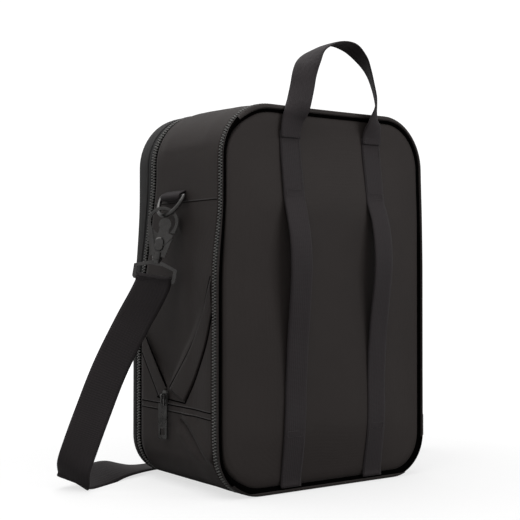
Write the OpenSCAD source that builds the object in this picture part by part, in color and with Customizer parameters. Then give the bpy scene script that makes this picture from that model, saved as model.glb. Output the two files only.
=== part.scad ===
// Travel shoe bag: a boxy two-compartment bag that unzips at the front and the back,
// with a webbing carry handle, side expansion pleats and a detachable shoulder strap.
// Frame: X to the right of the front panel, -Y towards the front, Z up, origin under the base.

/* [Bag] */
// Width of the bag across its front
bag_w = 275; // [240:1:310]
// Height of the bag without its handle
bag_h = 404; // [370:1:440]
// Radius of the two top corners seen from the front
bag_r = 58; // [45:1:70]
// Radius of the two bottom corners seen from the front
base_r = 46; // [35:1:58]
// Depth of the sewn side wall between the two zips
wall_d = 124; // [110:1:140]
// Thickness of the side wall, outer fabric, foam and lining together
wall_t = 4.8; // [4.5:0.1:6]
// Depth of the front cover from its zip to the panel face
front_lid_d = 13.7; // [12:0.1:16]
// Depth of the back cover from its zip to the panel face
back_lid_d = 29; // [26:0.5:34]

/* [Webbing] */
// Width of the handle and front strap webbing
web_w = 26; // [20:1:30]
// Width of the shoulder strap webbing
strap_w = 38; // [36:1:38]
// Thickness of all webbing
web_t = 1.8; // [1.4:0.1:2.2]
// Distance of each front strap from the middle of the bag
strap_x = 56; // [45:1:62]
// How far the loose part of a front strap stands off the panel
strap_bow = 13; // [5:0.5:18]
// Height of the carry handle above the bag
handle_h = 75; // [65:1:95]

/* [Hardware] */
// Radius of the D-ring's bow, to the middle of the wire
dring_r = 22.8; // [21:0.1:23]
// Wire radius of the D-ring
wire_r = 2.2; // [1.8:0.1:2.3]
// Outer radius of the hook's jaw
jaw_r = 16; // [15.5:0.5:17]
// Thickness of the hook
hook_t = 8; // [7.5:0.5:9]
// Turning clearance round every pin
fit = 0.08; // [0.05:0.01:0.1]

/* [Hidden] */
$fn = 48;

fabric = [0.17, 0.165, 0.16];
webbing = [0.13, 0.12, 0.125];
plastic = [0.2, 0.2, 0.2];

gap = 0.3;                     // gap between a cover and the body it closes on
wall_y0 = -75;                 // front edge of the side wall
wall_y1 = wall_y0 + wall_d;    // back edge of the side wall
front_zip_y = wall_y0 - 4;     // middle of the front chain
front_y = front_zip_y - front_lid_d;
piping_d = 5;
back_zip_y = wall_y1 + piping_d + 1.6;
back_y = back_zip_y + back_lid_d;
rim_t = 5;                     // thickness of the padded rims
tape_t = 1.2;                  // zip tape thickness
coil_w = 1.35;                 // half of a chain, along the depth
lid_z = 4;                     // height of both covers' hinge lines
board_t = 1.6;

// ---- shared shapes ----

// Bag outline, centred across, standing on its base line, drawn in by an inset
module rounded(inset) {
    w = bag_w - 2 * inset;
    h = bag_h - 2 * inset;
    low_r = base_r - inset;
    high_r = bag_r - inset;
    translate([-w / 2 + high_r, low_r]) square([w - 2 * high_r, h - low_r]);
    translate([-w / 2 + low_r, 0]) square([w - 2 * low_r, h - high_r]);
    translate([-w / 2, low_r]) square([w, h - high_r - low_r]);
    for (x = [-1, 1]) {
        translate([x * (w / 2 - low_r), low_r]) circle(low_r, $fn = 96);
        translate([x * (w / 2 - high_r), h - high_r]) circle(high_r, $fn = 96);
    }
}

// Bag-shaped plate between two depths, drawn in from the outer size
module plate(y0, y1, inset)
    translate([0, y1, inset]) rotate([90, 0, 0]) linear_extrude(y1 - y0) rounded(inset);

// Sweeps a profile (x outward, the outer face at bag_r, and y along the depth) round the bag
module ring() {
    corner_r = [base_r, base_r, bag_r, bag_r];
    for (k = [0:3]) {
        r = corner_r[k];
        run = (k % 2 == 0 ? bag_h : bag_w) - r - corner_r[[3, 0, 1, 2][k]];
        cx = (k == 0 || k == 3 ? 1 : -1) * (bag_w / 2 - r);
        cz = k < 2 ? r : bag_h - r;
        translate([cx, 0, cz]) rotate([0, 90 * k, 0]) {
            rotate([-90, 0, 0]) rotate_extrude(angle = 90, $fn = 96) translate([r - bag_r, 0]) children();
            linear_extrude(run) translate([r - bag_r, 0]) children();
        }
    }
}

// Plain band of the ring, from one depth to another, at a distance in from the outer face
module band(y0, y1, t, inset = 0)
    ring() translate([bag_r - inset - t, y0]) square([t, y1 - y0]);

// Keeps what lies above or below the hinge line of the covers
module above(z) intersection() {
    children();
    translate([-bag_w, -bag_w, z]) cube([2 * bag_w, 2 * bag_w, 2 * bag_h]);
}
module below(z) intersection() {
    children();
    translate([-bag_w, -bag_w, -bag_h]) cube([2 * bag_w, 2 * bag_w, bag_h + z]);
}

// Plate drawn in the Y-Z plane and given its thickness along +X
module side_plate(t) rotate([90, 0, 90]) linear_extrude(t) children();

// The right-hand pieces are the left-hand ones mirrored
module on_side(s) mirror([s > 0 ? 1 : 0, 0, 0]) children();

// ---- the sewn body ----

pleat_apex = [20, 101];
pleat_window = [pleat_apex, [-62, 197], [44, 134]];
pleat_pocket = [[20, 92], [-70, 203], [47, 140]];

module side_wall() color(fabric) difference() {
    band(wall_y0, wall_y1, wall_t);
    for (s = [-1, 1]) on_side(s) {
        translate([-bag_w / 2 - 1, 0, 0]) side_plate(wall_t + 2) polygon(pleat_window);
        translate([-bag_w / 2 + 3, 0, 0]) side_plate(wall_t) polygon(pleat_pocket);
    }
}

module side_pleat(s) color(fabric * 0.8) on_side(s)
    translate([-bag_w / 2 + 3, 0, 0]) side_plate(wall_t - 3) polygon(pleat_pocket);

divider_y = -8;
divider_t = 3;
module divider_panel() color(fabric) plate(divider_y - divider_t / 2, divider_y + divider_t / 2, wall_t);

// One stiff board under each compartment, on the flat of the base
module base_boards() color("dimgray") for (span = [[wall_y0 + 2, divider_y - divider_t / 2],
        [divider_y + divider_t / 2, wall_y1 - 2]])
    translate([-bag_w / 2 + bag_r, span[0], wall_t])
        cube([bag_w - 2 * bag_r, span[1] - span[0], board_t]);

// Strips of the base under the two covers, which turn on the strips' outer edges
module front_hinge_strip() color(fabric) below(lid_z - gap) ring() rim_profile(front_y + gap, wall_y0, 3);
module back_hinge_strip() color(fabric) below(lid_z - gap) ring() rim_profile(back_y - gap, wall_y1, 3);

// Tape and half chain of one side of a zip: dir is the way the tape leaves the chain
module zip_half(zip_y, dir, reach) above(lid_z) ring() {
    chain = zip_y + dir * gap / 2;
    tape = chain + dir * coil_w;
    translate([bag_r - 2.6, min(chain, tape)]) square([2.6, coil_w]);
    translate([bag_r - 2.2, min(tape, zip_y + dir * reach)])
        square([tape_t, abs(zip_y + dir * reach - tape)]);
}

module front_zip_base() color("black") zip_half(front_zip_y, 1, front_zip_y * -1 + wall_y0);
module back_zip_base() color("black") zip_half(back_zip_y, -1, 1.6);
module back_piping() color(fabric * 0.6) above(lid_z) band(wall_y1, wall_y1 + piping_d, 3, 0.8);

// ---- side pleat zips ----

// Wide tape to the front chain and narrow tape to the back one, meeting at the slider
front_tape = [pleat_apex, [-16, 94], [-74, 163], [-74, 211]];
back_tape = [pleat_apex, [36, 97], [wall_y1, 113], [wall_y1, 140]];
module pleat_tapes(s) color(webbing) on_side(s) translate([-bag_w / 2 - tape_t, 0, 0]) {
    side_plate(tape_t) polygon(front_tape);
    side_plate(tape_t) polygon(back_tape);
}

// Slider, local frame: x out of the fabric, y across the chain, z along it
bridge_w = 2.4;
bridge_x = 4.6;                // the bridge window's centre above the tape
module slider_shape() color(plastic) {
    side_plate(2.4) {
        translate([0, 1.5]) circle(4.8);
        polygon([[-4.8, 1.5], [4.8, 1.5], [3.6, -6.5], [-3.6, -6.5]]);
    }
    rotate([90, 0, 0]) translate([0, 0, -bridge_w / 2]) linear_extrude(bridge_w) difference() {
        union() {
            translate([bridge_x - 0.4, 0]) circle(3);
            translate([1.2, -3]) square([bridge_x - 1.6, 6]);
        }
        translate([bridge_x - 0.4, 0]) circle(1.5);
    }
}

// Pull that hangs from the bridge: crossbar, two cheeks and a tab with a window
tab_w = 11;
long_tab = 36;
short_tab = 22;
module pull_shape(tab_l, turn = 0) color(plastic) {
    translate([bridge_x - 0.4, 0, 0]) {
        rotate([90, 0, 0]) cylinder(r = 0.9, h = 7.2, center = true);
        for (y = [-3.6, 2]) translate([-0.9, y, -10]) cube([1.8, 1.6, 10]);
        rotate([0, 0, turn]) translate([-0.9, -tab_w / 2, -10 - tab_l]) difference() {
            cube([1.8, tab_w, tab_l + 2]);
            translate([-1, tab_w / 2 - 3, 4]) cube([4, 6, 7]);
            translate([-1, tab_w / 2 - 3, 14]) cube([1.6, 6, tab_l - 18]);
        }
    }
}

pleat_slider_at = [-bag_w / 2 - tape_t, 20, 96];
module at_pleat(s) on_side(s) translate(pleat_slider_at) mirror([1, 0, 0]) children();
module pleat_slider(s) at_pleat(s) slider_shape();
module pleat_pull(s) at_pleat(s) pull_shape(long_tab, -24);

// The two main sliders are parked at the low end of the straight chain on the right
slider_z = 74;
module at_chain(y) translate([bag_w / 2 + gap, y, slider_z]) children();
module front_slider() at_chain(front_zip_y) slider_shape();
module front_pull() at_chain(front_zip_y) pull_shape(short_tab);
module back_slider() at_chain(back_zip_y) slider_shape();
module back_pull() at_chain(back_zip_y) pull_shape(short_tab);

// ---- front cover ----

// Padded rim: its outer edge is rounded where it folds over onto the cover's face
module rim_profile(face, lip, edge_r) {
    dir = face < lip ? 1 : -1;
    difference() {
        translate([bag_r - rim_t, min(face, lip)]) square([rim_t, abs(lip - face)]);
        translate([bag_r - edge_r, face - (dir < 0 ? edge_r : 0)]) square(edge_r);
    }
    intersection() {
        translate([bag_r - edge_r, face + dir * edge_r]) circle(edge_r);
        translate([bag_r - edge_r, face - (dir < 0 ? edge_r : 0)]) square(edge_r);
    }
}
module front_rim() color(fabric) above(lid_z)
    ring() rim_profile(front_y + 0.8, front_zip_y - 4.2, 4.5);
module front_zip_lid() color("black") zip_half(front_zip_y, -1, 4.2);
module front_panel() color(fabric) above(lid_z) plate(front_y, front_y + 6.4, rim_t);
module front_board() color("dimgray") above(lid_z) plate(front_y + 6.4, front_y + 8, rim_t);

// Straps sewn to the panel at both ends and loose between the two middle seams
loose_z = [66, 308];
strap_top = bag_h + 0.6;
bow_steps = 24;
function bow(z) = let (u = (z - loose_z[0]) / (loose_z[1] - loose_z[0]))
    strap_bow * pow(max(0, sin(180 * pow(u, 2.1))), 1.3);
bow_line = [for (i = [0:bow_steps]) let (z = loose_z[0] + (loose_z[1] - loose_z[0]) * i / bow_steps)
    [front_y - bow(z), z]];
strap_line = concat([[front_y, lid_z + 2]], bow_line, [[front_y, strap_top]]);
strap_outline = concat(strap_line,
    [for (i = [len(strap_line) - 1:-1:0]) strap_line[i] - [web_t, 0]]);
module front_strap(s) color(webbing) translate([s * strap_x - web_w / 2, 0, 0])
    side_plate(web_w) polygon(strap_outline);

// ---- flat webbing swept along a route ----

// Smooth point on a list of points, t counted in points
function spline(p, t) = let (n = len(p) - 1, i = min(floor(t), n - 1), u = t - i,
    a = p[max(i - 1, 0)], b = p[i], c = p[i + 1], d = p[min(i + 2, n)])
    0.5 * (2 * b + u * (c - a) + u * u * (2 * a - 5 * b + 4 * c - d)
    + u * u * u * (3 * b - a - 3 * c + d));
function unit(v) = v / norm(v);

// route: centre points; across: the direction of the webbing's width at each of them
module webbing_run(route, across, w, steps) {
    n = (len(route) - 1) * steps;
    rings = [for (i = [0:n]) let (t = i / steps, c = spline(route, t),
        tangent = unit(spline(route, min(t + 0.05, len(route) - 1)) - spline(route, max(t - 0.05, 0))),
        side0 = unit(spline(across, t)),
        side = unit(side0 - (side0 * tangent) * tangent), face = cross(side, tangent))
        for (k = [[-1, -1], [1, -1], [1, 1], [-1, 1]]) c + k[0] * side * w / 2 + k[1] * face * web_t / 2];
    quads = [for (i = [0:n - 1], k = [0:3]) let (a = 4 * i + k, b = 4 * i + (k + 1) % 4)
        each [[a, b, b + 4], [a, b + 4, a + 4]]];
    ends = [[0, 3, 2], [0, 2, 1], [4 * n, 4 * n + 1, 4 * n + 2], [4 * n, 4 * n + 2, 4 * n + 3]];
    polyhedron(rings, [for (f = concat(quads, ends)) [f[2], f[1], f[0]]]);
}

// Handle: both legs rise flat against the front, then turn so the top lies flat in the hand
handle_y = front_y - web_t / 2;
handle_base = strap_top + web_t / 2 + 2 * gap;
handle_top = bag_h + handle_h;
handle_route = [[-strap_x, handle_y, handle_base], [-strap_x, handle_y, handle_base + 4],
    [-strap_x + 0.4, handle_y, handle_base + 9], [-strap_x + 4.5, handle_y, handle_base + 18],
    [-strap_x + 12.5, handle_y + 1, handle_base + 29], [-strap_x + 22.5, handle_y + 4, handle_base + 43.5],
    [-strap_x + 39, handle_y + 7, handle_base + 60],
    [strap_x - 47, handle_y + 8, handle_top - 2], [strap_x - 26, handle_y + 8, handle_top - 3],
    [strap_x - 8, handle_y + 5, handle_base + 54], [strap_x + 3, handle_y + 1.5, handle_base + 36],
    [strap_x + 1.5, handle_y, handle_base + 17], [strap_x, handle_y, handle_base + 5],
    [strap_x, handle_y, handle_base]];
handle_across = [[1, 0, 0], [1, 0, 0], [1, 0, 0], [0.9, -0.42, 0], [0.8, -0.6, 0], [0.7, -0.7, 0.1],
    [0.3, -0.95, 0.1], [0, -1, 0], [-0.1, -1, 0.1], [-0.35, -0.93, 0.1], [-0.58, -0.81, 0.05],
    [-0.65, -0.76, 0], [-1, 0, 0], [-1, 0, 0]];
module carry_handle() color(webbing) webbing_run(handle_route, handle_across, web_w, 4);

// ---- back cover ----

module back_rim() color(fabric) above(lid_z)
    ring() rim_profile(back_y - 0.8, back_zip_y + 9.4, 4.8);
module back_zip_lid() color("black") zip_half(back_zip_y, 1, 9.4);
module back_panel() color(fabric) above(lid_z) plate(back_y - 7, back_y, rim_t);
module back_board() color("dimgray") above(lid_z) plate(back_y - 8.6, back_y - 7, rim_t);

// ---- D-rings and their tabs ----

ring_at = [-bag_w / 2 - 5, 1, 309.5];
ring_lean = 28;                // the hook holds the ring off the wall at rest
module ring_tab(s) color(webbing) on_side(s) translate(ring_at) rotate([90, 0, 0])
    translate([0, 0, -19]) linear_extrude(38) difference() {
        union() {
            circle(wire_r + fit + web_t);
            translate([0, -4.2]) square([5, 8.4]);
        }
        circle(wire_r + fit);
    }

module d_ring(s) color(plastic) on_side(s) translate(ring_at) rotate([0, ring_lean, 0]) {
    rotate([90, 0, 0]) cylinder(r = wire_r, h = 2 * dring_r, center = true);
    for (y = [-1, 1]) translate([0, y * dring_r, 0]) sphere(wire_r);
    rotate([0, 90, 0]) rotate([0, 0, -90]) rotate_extrude(angle = 180) translate([dring_r, 0]) circle(wire_r);
}

// ---- swivel snap hook, local frame: x across, y away from the face, z up its shank ----

hook_at = [-bag_w / 2 - 22, 4.7, 243];       // the swivel collar's foot
module at_hook(s) on_side(s) translate(hook_at) rotate([4.4, 0, 0]) rotate([0, 8.3, 0])
    rotate([0, 0, -34.5]) children();

jaw_z = 40;                    // centre of the jaw
jaw_gap_r = 13;                // inside of the jaw
gate_z = 16;                   // the gate's pivot
head_r = 6.6;                  // round head of the gate
head_z = 37.8;
head_x = 2.6;                  // rest place of the head, closing the right side of the jaw
mouth = [24.2, 29.6];          // height of the jaw's mouth on the right
stem_r = 2;
collar_r = 5.4;
pivot_r = 1.6;

module face_plate(y0, y1) translate([0, y1, 0]) rotate([90, 0, 0]) linear_extrude(y1 - y0) children();

module hook_outline() {
    translate([0, jaw_z]) circle(jaw_r, $fn = 96);
    polygon([[-8, 3], [8, 3], [15, 34], [-15, 34]]);
}

// Room for the gate: its neck swings to the left from its pivot
module gate_room() {
    translate([0, gate_z]) circle(5.6);
    polygon([[-5.6, gate_z], [5.6, gate_z], [12.9, mouth[0]], [18, mouth[0]], [18, mouth[1]],
        [11, mouth[1]], [9, 36], [-10.4, 32]]);
}

module hook_body(s) color(plastic) at_hook(s) difference() {
    union() {
        face_plate(-hook_t / 2, hook_t / 2) hook_outline();
        cylinder(r = collar_r, h = 7.6);
        face_plate(-hook_t / 2 - 0.8, -hook_t / 2) difference() {
            hook_outline();
            translate([0, jaw_z]) circle(jaw_r - 1.6, $fn = 96);
            polygon([[-6.8, 3], [6.8, 3], [13.4, 34], [-13.4, 34]]);
        }
    }
    translate([0, 0, jaw_z]) rotate([90, 0, 0]) cylinder(r = jaw_gap_r, h = 20, center = true, $fn = 96);
    face_plate(-hook_t, hook_t / 2 - 2) gate_room();
    translate([4, -hook_t, mouth[0]]) cube([20, 2 * hook_t, mouth[1] - mouth[0]]);
    translate([0, 0, gate_z]) rotate([90, 0, 0]) cylinder(r = pivot_r, h = 20, center = true);
    translate([0, 0, -1]) cylinder(r = stem_r + fit, h = 6);
    translate([0, 0, 3]) cylinder(r = 3.4, h = 2.4);
}

module gate_pin(s) color("silver") at_hook(s) translate([0, hook_t / 2, gate_z]) rotate([90, 0, 0])
    cylinder(r = pivot_r, h = 6.2);

// Oval pad that stands a little proud of the hook's face
module thumb_pad() {
    pad_y = -hook_t / 2 - 0.5;
    for (z = [-2.5, 2.5]) translate([0, pad_y, gate_z + z]) rotate([90, 0, 0]) {
        cylinder(r = 5, h = 1);
        translate([0, 0, 1]) cylinder(r1 = 5, r2 = 3.8, h = 1.2);
    }
    translate([-5, pad_y - 1, gate_z - 2.5]) cube([10, 1, 5]);
    translate([-3.8, pad_y - 2.2, gate_z - 2.5]) cube([7.6, 1.2, 5]);
}

// Gate: a flat lever with a round head in the jaw, an ear that fills the mouth and an oval thumb pad
module hook_gate(s) color(plastic * 1.15) at_hook(s) difference() {
    union() {
        face_plate(-hook_t / 2 + 0.4, hook_t / 2 - 2.4) {
            translate([0, gate_z]) circle(5.1);
            polygon([[-5.1, gate_z], [5.1, gate_z], [12.2, mouth[0] + 0.4], [12.5, mouth[1] - 2.1],
                [7.6, mouth[1] - 0.7], [head_x + 5, 34], [head_x - 5, 33]]);
        }
        face_plate(-hook_t / 2, hook_t / 2) translate([head_x, head_z]) circle(head_r);
        face_plate(-hook_t / 2 - 0.5, -hook_t / 2 + 0.5) translate([0, gate_z]) circle(5);
        thumb_pad();
    }
    translate([0, hook_t, gate_z]) rotate([90, 0, 0]) cylinder(r = pivot_r + fit, h = hook_t + 3);
}

// Swivel eye: headed stem in the collar, sloping shoulders and the bar that holds the strap
bar_z = -20.5;
bar_r = 2.2;
slot_half = strap_w / 2 + 0.3;
module swivel_eye(s) color(plastic) at_hook(s) {
    translate([0, 0, -2]) cylinder(r = stem_r, h = 6.8);
    translate([0, 0, 3.4]) cylinder(r = 3, h = 1.4);
    translate([0, 0, -4]) cylinder(r = 4.6, h = 3.6);
    face_plate(-2.6, 2.6) difference() {
        polygon([[-6, -2], [6, -2], [slot_half + 3.6, -8], [slot_half + 3.6, -21], [slot_half + 1.6, -23.4],
            [-slot_half - 1.6, -23.4], [-slot_half - 3.6, -21], [-slot_half - 3.6, -8]]);
        polygon([[-slot_half, -10.2], [-7, -6.4], [7, -6.4], [slot_half, -10.2], [slot_half, -30],
            [-slot_half, -30]]);
    }
    translate([0, 0, bar_z]) rotate([0, 90, 0]) cylinder(r = bar_r, h = 2 * slot_half + 4, center = true);
}

// ---- shoulder strap ----

// Hanging part: from the eye's bar down to the curl on the floor
drop_route = [[-163.4, 6.4, 217.5], [-167.2, 8, 201], [-180, 17, 172], [-202, 28, 127],
    [-220, 34.5, 82], [-235, 40, 45], [-240, 45, 28], [-235, 52, 15]];
drop_across = [[0.82, -0.55, -0.16], [0.82, -0.54, -0.2], [0.80, -0.53, -0.27], [0.78, -0.52, -0.36],
    [0.77, -0.52, -0.38], [0.75, -0.54, -0.38], [0.68, -0.62, -0.38], [0.60, -0.72, -0.30]];
module strap_drop(s) color(webbing) on_side(s) webbing_run(drop_route, drop_across, strap_w - 1, 4);

// The strap's end, folded round the eye's bar
module strap_loop(s) color(webbing) at_hook(s) translate([0, 0, bar_z]) rotate([0, 90, 0]) difference() {
    cylinder(r = bar_r + web_t, h = strap_w, center = true);
    cylinder(r = bar_r, h = strap_w + 2, center = true);
}

// Lying part: from one curl to the other, flat on the floor behind the bag
floor_half = [[-230, 56, 11], [-215, 63, 9], [-190, 76, 9], [-160, 92, 9], [-120, 109, 7], [-80, 119, 4],
    [-40, 123, 2], [0, 124, 1.5]];
floor_across_half = [[0.56, -0.76, -0.28], [0.50, -0.82, -0.30], [0.46, -0.84, -0.30], [0.44, -0.85, -0.28],
    [0.3, -0.93, -0.15], [0.15, -0.98, -0.05], [0.04, -1, 0], [0, -1, 0]];
floor_route = concat(floor_half, [for (i = [len(floor_half) - 2:-1:0])
    [-floor_half[i][0], floor_half[i][1], floor_half[i][2]]]);
floor_across = concat(floor_across_half, [for (i = [len(floor_half) - 2:-1:0])
    [-floor_across_half[i][0], floor_across_half[i][1], floor_across_half[i][2]]]);
module strap_floor_run() color(webbing) webbing_run(floor_route, floor_across, strap_w, 3);

// Three-bar buckle that sets the strap's length, lying on the webbing behind the bag
adjuster_at = [0, 124, 2.45];
module adjuster_slot(x) translate([x, 0, 0]) cube([5, strap_w + 0.6, 8], center = true);
module strap_adjuster() color(plastic) translate(adjuster_at) difference() {
    translate([-13, -strap_w / 2 - 3.6, 0]) cube([26, strap_w + 7.2, 3.2]);
    adjuster_slot(-6);
    adjuster_slot(6);
}

side_wall();
divider_panel();
base_boards();
front_hinge_strip();
back_hinge_strip();
front_zip_base();
back_zip_base();
back_piping();
side_pleat(-1);  // side_pleat_left
side_pleat(1);  // side_pleat_right
pleat_tapes(-1);  // pleat_tapes_left
pleat_tapes(1);  // pleat_tapes_right
pleat_slider(-1);  // pleat_slider_left
pleat_slider(1);  // pleat_slider_right
ring_tab(-1);  // ring_tab_left
ring_tab(1);  // ring_tab_right
strap_floor_run();
strap_adjuster();
front_panel();
front_board();
front_rim();
front_zip_lid();
front_strap(-1);  // front_strap_left
front_strap(1);  // front_strap_right
carry_handle();
back_panel();
back_board();
back_rim();
back_zip_lid();
d_ring(-1);  // d_ring_left
d_ring(1);  // d_ring_right
strap_drop(-1);  // strap_drop_left
strap_drop(1);  // strap_drop_right
strap_loop(-1);  // strap_loop_left
strap_loop(1);  // strap_loop_right
swivel_eye(-1);  // swivel_eye_left
swivel_eye(1);  // swivel_eye_right
hook_body(-1);  // hook_body_left
hook_body(1);  // hook_body_right
gate_pin(-1);  // gate_pin_left
gate_pin(1);  // gate_pin_right
hook_gate(-1);  // hook_gate_left
hook_gate(1);  // hook_gate_right
front_slider();
front_pull();
back_slider();
back_pull();
pleat_pull(-1);  // pleat_pull_left
pleat_pull(1);  // pleat_pull_right
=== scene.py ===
import math

import bmesh
import bpy
from mathutils import Matrix, Vector, noise


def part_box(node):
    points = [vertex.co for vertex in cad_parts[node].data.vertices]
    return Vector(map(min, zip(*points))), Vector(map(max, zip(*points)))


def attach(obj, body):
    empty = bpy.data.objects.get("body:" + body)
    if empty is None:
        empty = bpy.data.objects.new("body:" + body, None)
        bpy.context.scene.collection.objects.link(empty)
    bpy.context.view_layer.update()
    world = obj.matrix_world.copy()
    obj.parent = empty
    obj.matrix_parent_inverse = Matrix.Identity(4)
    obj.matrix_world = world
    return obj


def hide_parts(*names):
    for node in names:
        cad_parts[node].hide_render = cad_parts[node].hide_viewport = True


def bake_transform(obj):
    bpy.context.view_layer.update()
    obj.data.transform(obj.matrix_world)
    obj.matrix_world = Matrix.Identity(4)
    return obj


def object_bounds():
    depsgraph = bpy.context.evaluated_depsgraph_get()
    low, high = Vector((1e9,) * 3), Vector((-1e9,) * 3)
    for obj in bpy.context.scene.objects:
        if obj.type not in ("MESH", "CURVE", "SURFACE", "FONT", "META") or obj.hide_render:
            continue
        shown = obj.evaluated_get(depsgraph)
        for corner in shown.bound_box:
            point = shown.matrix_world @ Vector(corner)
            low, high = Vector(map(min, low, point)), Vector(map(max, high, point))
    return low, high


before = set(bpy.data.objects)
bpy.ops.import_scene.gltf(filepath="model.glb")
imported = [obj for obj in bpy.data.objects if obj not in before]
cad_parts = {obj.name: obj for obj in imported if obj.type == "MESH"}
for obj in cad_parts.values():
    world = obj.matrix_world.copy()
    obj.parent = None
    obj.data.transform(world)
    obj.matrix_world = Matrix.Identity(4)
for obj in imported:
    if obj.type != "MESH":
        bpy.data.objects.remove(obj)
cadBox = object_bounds()
mm = 0.001

# the bag's own outline, taken from the frame
wallLow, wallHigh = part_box("side_wall")
bag = {"width": wallHigh.x - wallLow.x, "height": wallHigh.z - wallLow.z, "low": 46 * mm, "high": 58 * mm}
bag["halfBase"] = bag["width"] / 2 - bag["low"]
bag["halfTop"] = bag["width"] / 2 - bag["high"]
bag["rise"] = bag["height"] - bag["low"] - bag["high"]
quarter = math.pi / 2
# straight runs and corners in turn, from the middle of the base: length and corner radius
legs = [(bag["halfBase"], 0), (bag["low"] * quarter, bag["low"]), (bag["rise"], 0),
        (bag["high"] * quarter, bag["high"]), (2 * bag["halfTop"], 0), (bag["high"] * quarter, bag["high"]),
        (bag["rise"], 0), (bag["low"] * quarter, bag["low"]), (bag["halfBase"], 0)]
around = sum(length for length, radius in legs)
hingeZ = 4 * mm  # the covers start here and the base strips end
rimWidth = 5 * mm
panelInset = 7.2 * mm
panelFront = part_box("front_panel")[0].y
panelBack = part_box("back_panel")[1].y
frontChainY = (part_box("front_zip_base")[0].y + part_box("front_zip_lid")[1].y) / 2
backChainY = (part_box("back_zip_base")[1].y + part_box("back_zip_lid")[0].y) / 2


# camera, light, floor
def placeCamera():
    view = {"place": (-0.7587, -1.0072, 0.2297), "towards": (0.5871, 0.8095, 0.0107), "lens": 76.6}
    data = bpy.data.cameras.new("studioCamera")
    data.lens = view["lens"]
    data.sensor_width = 36
    camera = bpy.data.objects.new("studioCamera", data)
    camera.location = view["place"]
    camera.rotation_mode = "QUATERNION"
    camera.rotation_quaternion = Vector(view["towards"]).to_track_quat("-Z", "Y")
    bpy.context.scene.collection.objects.link(camera)
    bpy.context.scene.camera = camera


def areaLight(name, place, target, size, power):
    data = bpy.data.lights.new(name, "AREA")
    data.shape = "RECTANGLE"
    data.size, data.size_y = size
    data.energy = power
    lamp = bpy.data.objects.new(name, data)
    lamp.location = place
    lamp.rotation_mode = "QUATERNION"
    lamp.rotation_quaternion = (Vector(target) - Vector(place)).to_track_quat("-Z", "Y")
    bpy.context.scene.collection.objects.link(lamp)


def lightStudio():
    areaLight("softOverhead", (-0.5, 0.1, 2.0), (0, 0, 0.2), (2.2, 2.2), 34)
    areaLight("softLeft", (-2.0, 0.9, 1.9), (0, 0, 0.4), (1.2, 1.2), 2)
    areaLight("softFront", (1.2, -2.4, 1.2), (0, 0, 0.2), (1.6, 1.4), 27)
    world = bpy.data.worlds.new("studio")
    world.use_nodes = True
    nodes, links = world.node_tree.nodes, world.node_tree.links
    # the wall behind is white to the camera, and a dimmer fill to the bag
    mixed = nodes.new("ShaderNodeMapRange")
    mixed.inputs["To Min"].default_value = 0.48
    mixed.inputs["To Max"].default_value = 1.1
    links.new(nodes.new("ShaderNodeLightPath").outputs["Is Camera Ray"], mixed.inputs["Value"])
    links.new(mixed.outputs["Result"], nodes["Background"].inputs["Strength"])
    nodes["Background"].inputs["Color"].default_value = (1, 1, 1, 1)
    bpy.context.scene.world = world
    bpy.context.scene.view_settings.view_transform = "Standard"


# materials
def nodeKit(name, colour, roughness, metallic=0.0):
    material = bpy.data.materials.new(name)
    material.use_nodes = True
    nodes, links = material.node_tree.nodes, material.node_tree.links
    shader = nodes["Principled BSDF"]
    shader.inputs["Base Color"].default_value = (*colour, 1)
    shader.inputs["Roughness"].default_value = roughness
    shader.inputs["Metallic"].default_value = metallic
    material.diffuse_color = (*colour, 1)
    return material, nodes, links, shader


def addNode(nodes, kind, **values):
    node = nodes.new(kind)
    for key, value in values.items():
        if key in node.inputs:
            node.inputs[key].default_value = value
        else:
            setattr(node, key, value)
    return node


def bandWave(nodes, links, source, axis, pitch):
    # one ridge for every pitch along an axis; a wave texture turns 20 radians for each unit
    wave = nodes.new("ShaderNodeTexWave")
    wave.wave_type = "BANDS"
    wave.bands_direction = axis
    wave.wave_profile = "SIN"
    wave.inputs["Scale"].default_value = 2 * math.pi / (20 * pitch)
    links.new(source, wave.inputs["Vector"])
    return wave.outputs["Fac"]


def mixNumbers(nodes, links, operation, a, b):
    sums = nodes.new("ShaderNodeMath")
    sums.operation = operation
    for socket, value in zip(sums.inputs, (a, b)):
        if isinstance(value, (int, float)):
            socket.default_value = value
        else:
            links.new(value, socket)
    return sums.outputs[0]


def noiseField(nodes, links, source, scale, detail):
    field = addNode(nodes, "ShaderNodeTexNoise", Scale=scale, Detail=detail, Roughness=0.5)
    links.new(source, field.inputs["Vector"])
    return field.outputs["Fac"]


def tint(nodes, links, factor, low, high, fromLow=0.3, fromHigh=0.7):
    ramp = nodes.new("ShaderNodeValToRGB")
    ramp.color_ramp.elements[0].position = fromLow
    ramp.color_ramp.elements[1].position = fromHigh
    ramp.color_ramp.elements[0].color = (*low, 1)
    ramp.color_ramp.elements[1].color = (*high, 1)
    links.new(factor, ramp.inputs["Fac"])
    return ramp.outputs["Color"]


def scaled(colour, by):
    return tuple(min(1.0, channel * by) for channel in colour)


def roughBump(nodes, links, shader, height, distance, strength=1.0, below=None):
    bump = addNode(nodes, "ShaderNodeBump", Strength=strength, Distance=distance)
    links.new(height, bump.inputs["Height"])
    if below is not None:
        links.new(below, bump.inputs["Normal"])
    links.new(bump.outputs["Normal"], shader.inputs["Normal"])
    return bump.outputs["Normal"]


def rangeOf(nodes, links, value, low, high):
    ranged = nodes.new("ShaderNodeMapRange")
    ranged.inputs["To Min"].default_value = low
    ranged.inputs["To Max"].default_value = high
    links.new(value, ranged.inputs["Value"])
    return ranged.outputs["Result"]


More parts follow.
